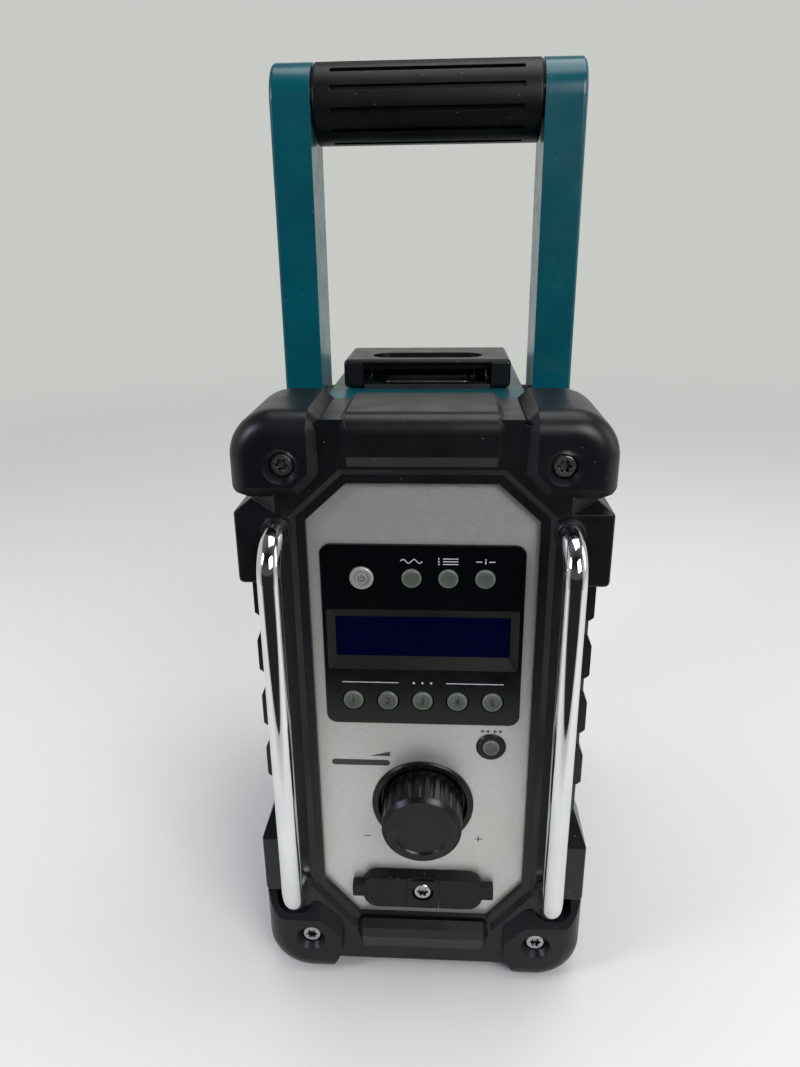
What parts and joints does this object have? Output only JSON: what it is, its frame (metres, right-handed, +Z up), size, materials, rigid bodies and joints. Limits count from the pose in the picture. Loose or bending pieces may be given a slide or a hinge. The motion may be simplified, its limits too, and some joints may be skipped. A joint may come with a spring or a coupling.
{
  "type": "jobsite radio",
  "caption": "Rugged upright jobsite radio with corner bumpers, chromed guard bars, a fold-back carrying handle, display, buttons, volume knob and a latched battery cover.",
  "frame": {"origin": "on the floor, below the middle of the radio's overall box and below the handle's two bolts", "axes": "+X to the right seen from the front, +Y to the rear, +Z up"},
  "size_m": [0.163, 0.237, 0.4432],
  "materials": {
    "teal_housing": "satin paint",
    "handle_paint": "satin powder coat",
    "frame_plastic": "satin moulded",
    "bumper_elastomer": "soft-touch elastomer",
    "silver_panel": "fine silver paint",
    "gloss_bezel": "gloss",
    "display_glass": "dark tinted window",
    "key_rubber": "translucent grey",
    "power_metal": "spun",
    "knob_plastic": "fine satin",
    "port_rubber": "matt",
    "grip_rubber": "matt",
    "chrome_bar": "bright",
    "bright_steel": "zinc plated",
    "grille_steel": "black powder coat",
    "inner_plastic": "moulded",
    "circuit_board": "solder mask",
    "speaker_cone": "pulp",
    "cell_jacket": "printed sleeve"
  },
  "bodies": {
    "body": {"main_housing": "teal_housing", "top_deck": "teal_housing", "front_frame": "frame_plastic", "rear_frame": "frame_plastic", "front_panel": "silver_panel", "display_bezel": "gloss_bezel", "lcd_window": "display_glass", "lcd_module": "circuit_board", "main_board": "circuit_board", "scan_button_ring": "gloss_bezel", "knob_surround": "knob_plastic", "rotary_encoder": "bright_steel", "port_cover": "port_rubber", "port_cover_screw": "bright_steel", "aux_jack": "inner_plastic", "dc_jack": "inner_plastic", "front_bumper_top_right": "bumper_elastomer", "front_bumper_top_left": "bumper_elastomer", "front_bumper_bottom_right": "bumper_elastomer", "front_bumper_bottom_left": "bumper_elastomer", "rear_bumpers_top": "bumper_elastomer", "rear_bumpers_bottom": "bumper_elastomer", "bumper_screws": "bright_steel", "guard_bar_right": "chrome_bar", "guard_bar_left": "chrome_bar", "guard_bar_collars": "frame_plastic", "handle_bolts": "bright_steel", "handle_washers": "inner_plastic", "cover_hinge_pin": "bright_steel", "latch_keeper": "grille_steel", "battery_bay": "inner_plastic", "terminal_block": "inner_plastic", "backup_battery_holder": "inner_plastic", "backup_batteries": "cell_jacket", "speakers": "inner_plastic", "speaker_cones": "speaker_cone", "speaker_grilles": "grille_steel"},
    "handle": {"handle_arm_right": "handle_paint", "handle_arm_left": "handle_paint", "handle_grip": "grip_rubber", "handle_core_tube": "bright_steel"},
    "battery_cover": {"battery_cover": "teal_housing", "latch_pin": "bright_steel"},
    "latch_lever": {"latch_lever": "frame_plastic"},
    "latch_bail": {"latch_bail": "bright_steel"},
    "knob_push": {"encoder_plunger": "inner_plastic"},
    "knob": {"volume_knob": "knob_plastic", "encoder_shaft": "bright_steel"},
    "port_flap_right": {"port_flap_right": "port_rubber"},
    "port_flap_left": {"port_flap_left": "port_rubber"},
    "power_button": {"power_button": "power_metal"},
    "band_button": {"band_button": "key_rubber"},
    "menu_button": {"menu_button": "key_rubber"},
    "info_button": {"info_button": "key_rubber"},
    "preset_button_1": {"preset_button_1": "key_rubber"},
    "preset_button_2": {"preset_button_2": "key_rubber"},
    "preset_button_3": {"preset_button_3": "key_rubber"},
    "preset_button_4": {"preset_button_4": "key_rubber"},
    "preset_button_5": {"preset_button_5": "key_rubber"},
    "scan_button": {"scan_button": "key_rubber"}
  },
  "joints": [
    {"name": "handle_fold", "type": "hinge", "parent": "body", "child": "handle", "pos_m": [0, 0, 0.285], "axis": [1, 0, 0], "range_deg": [-90, 0]},
    {"name": "cover_hinge", "type": "hinge", "parent": "body", "child": "battery_cover", "pos_m": [0, 0.111, 0.055], "axis": [-1, 0, 0], "range_deg": [0, 85]},
    {"name": "latch_hinge", "type": "hinge", "parent": "battery_cover", "child": "latch_lever", "pos_m": [0, 0.033, 0.3045], "axis": [-1, 0, 0], "range_deg": [0, 95]},
    {"name": "bail_swing", "type": "hinge", "parent": "latch_lever", "child": "latch_bail", "pos_m": [0, 0.017, 0.3032], "axis": [-1, 0, 0], "range_deg": [0, 8]},
    {"name": "knob_press", "type": "slide", "parent": "body", "child": "knob_push", "axis": [0, 1, 0], "range_m": [0, 0.001], "stiffness_N_per_m": 2500, "springref_m": -0.0004},
    {"name": "knob_spin", "type": "hinge", "parent": "knob_push", "child": "knob", "pos_m": [0, -0.09, 0.1054], "axis": [0, 1, 0], "continuous": true},
    {"name": "flap_right_hinge", "type": "hinge", "parent": "body", "child": "port_flap_right", "pos_m": [0.00808, -0.09365, 0.0538], "axis": [0, 0, -1], "range_deg": [0, 100], "stiffness_Nm_per_rad": 0.01},
    {"name": "flap_left_hinge", "type": "hinge", "parent": "body", "child": "port_flap_left", "pos_m": [-0.00808, -0.09365, 0.0538], "axis": [0, 0, 1], "range_deg": [0, 100], "stiffness_Nm_per_rad": 0.01},
    {"name": "power_button_press", "type": "slide", "parent": "body", "child": "power_button", "axis": [0, 1, 0], "range_m": [0, 0.0008], "stiffness_N_per_m": 800, "springref_m": -0.0004},
    {"name": "band_button_press", "type": "slide", "parent": "body", "child": "band_button", "axis": [0, 1, 0], "range_m": [0, 0.0008], "stiffness_N_per_m": 800, "springref_m": -0.0004},
    {"name": "menu_button_press", "type": "slide", "parent": "body", "child": "menu_button", "axis": [0, 1, 0], "range_m": [0, 0.0008], "stiffness_N_per_m": 800, "springref_m": -0.0004},
    {"name": "info_button_press", "type": "slide", "parent": "body", "child": "info_button", "axis": [0, 1, 0], "range_m": [0, 0.0008], "stiffness_N_per_m": 800, "springref_m": -0.0004},
    {"name": "preset_button_1_press", "type": "slide", "parent": "body", "child": "preset_button_1", "axis": [0, 1, 0], "range_m": [0, 0.0008], "stiffness_N_per_m": 800, "springref_m": -0.0004},
    {"name": "preset_button_2_press", "type": "slide", "parent": "body", "child": "preset_button_2", "axis": [0, 1, 0], "range_m": [0, 0.0008], "stiffness_N_per_m": 800, "springref_m": -0.0004},
    {"name": "preset_button_3_press", "type": "slide", "parent": "body", "child": "preset_button_3", "axis": [0, 1, 0], "range_m": [0, 0.0008], "stiffness_N_per_m": 800, "springref_m": -0.0004},
    {"name": "preset_button_4_press", "type": "slide", "parent": "body", "child": "preset_button_4", "axis": [0, 1, 0], "range_m": [0, 0.0008], "stiffness_N_per_m": 800, "springref_m": -0.0004},
    {"name": "preset_button_5_press", "type": "slide", "parent": "body", "child": "preset_button_5", "axis": [0, 1, 0], "range_m": [0, 0.0008], "stiffness_N_per_m": 800, "springref_m": -0.0004},
    {"name": "scan_button_press", "type": "slide", "parent": "body", "child": "scan_button", "axis": [0, 1, 0], "range_m": [0, 0.0008], "stiffness_N_per_m": 800, "springref_m": -0.0004}
  ]
}
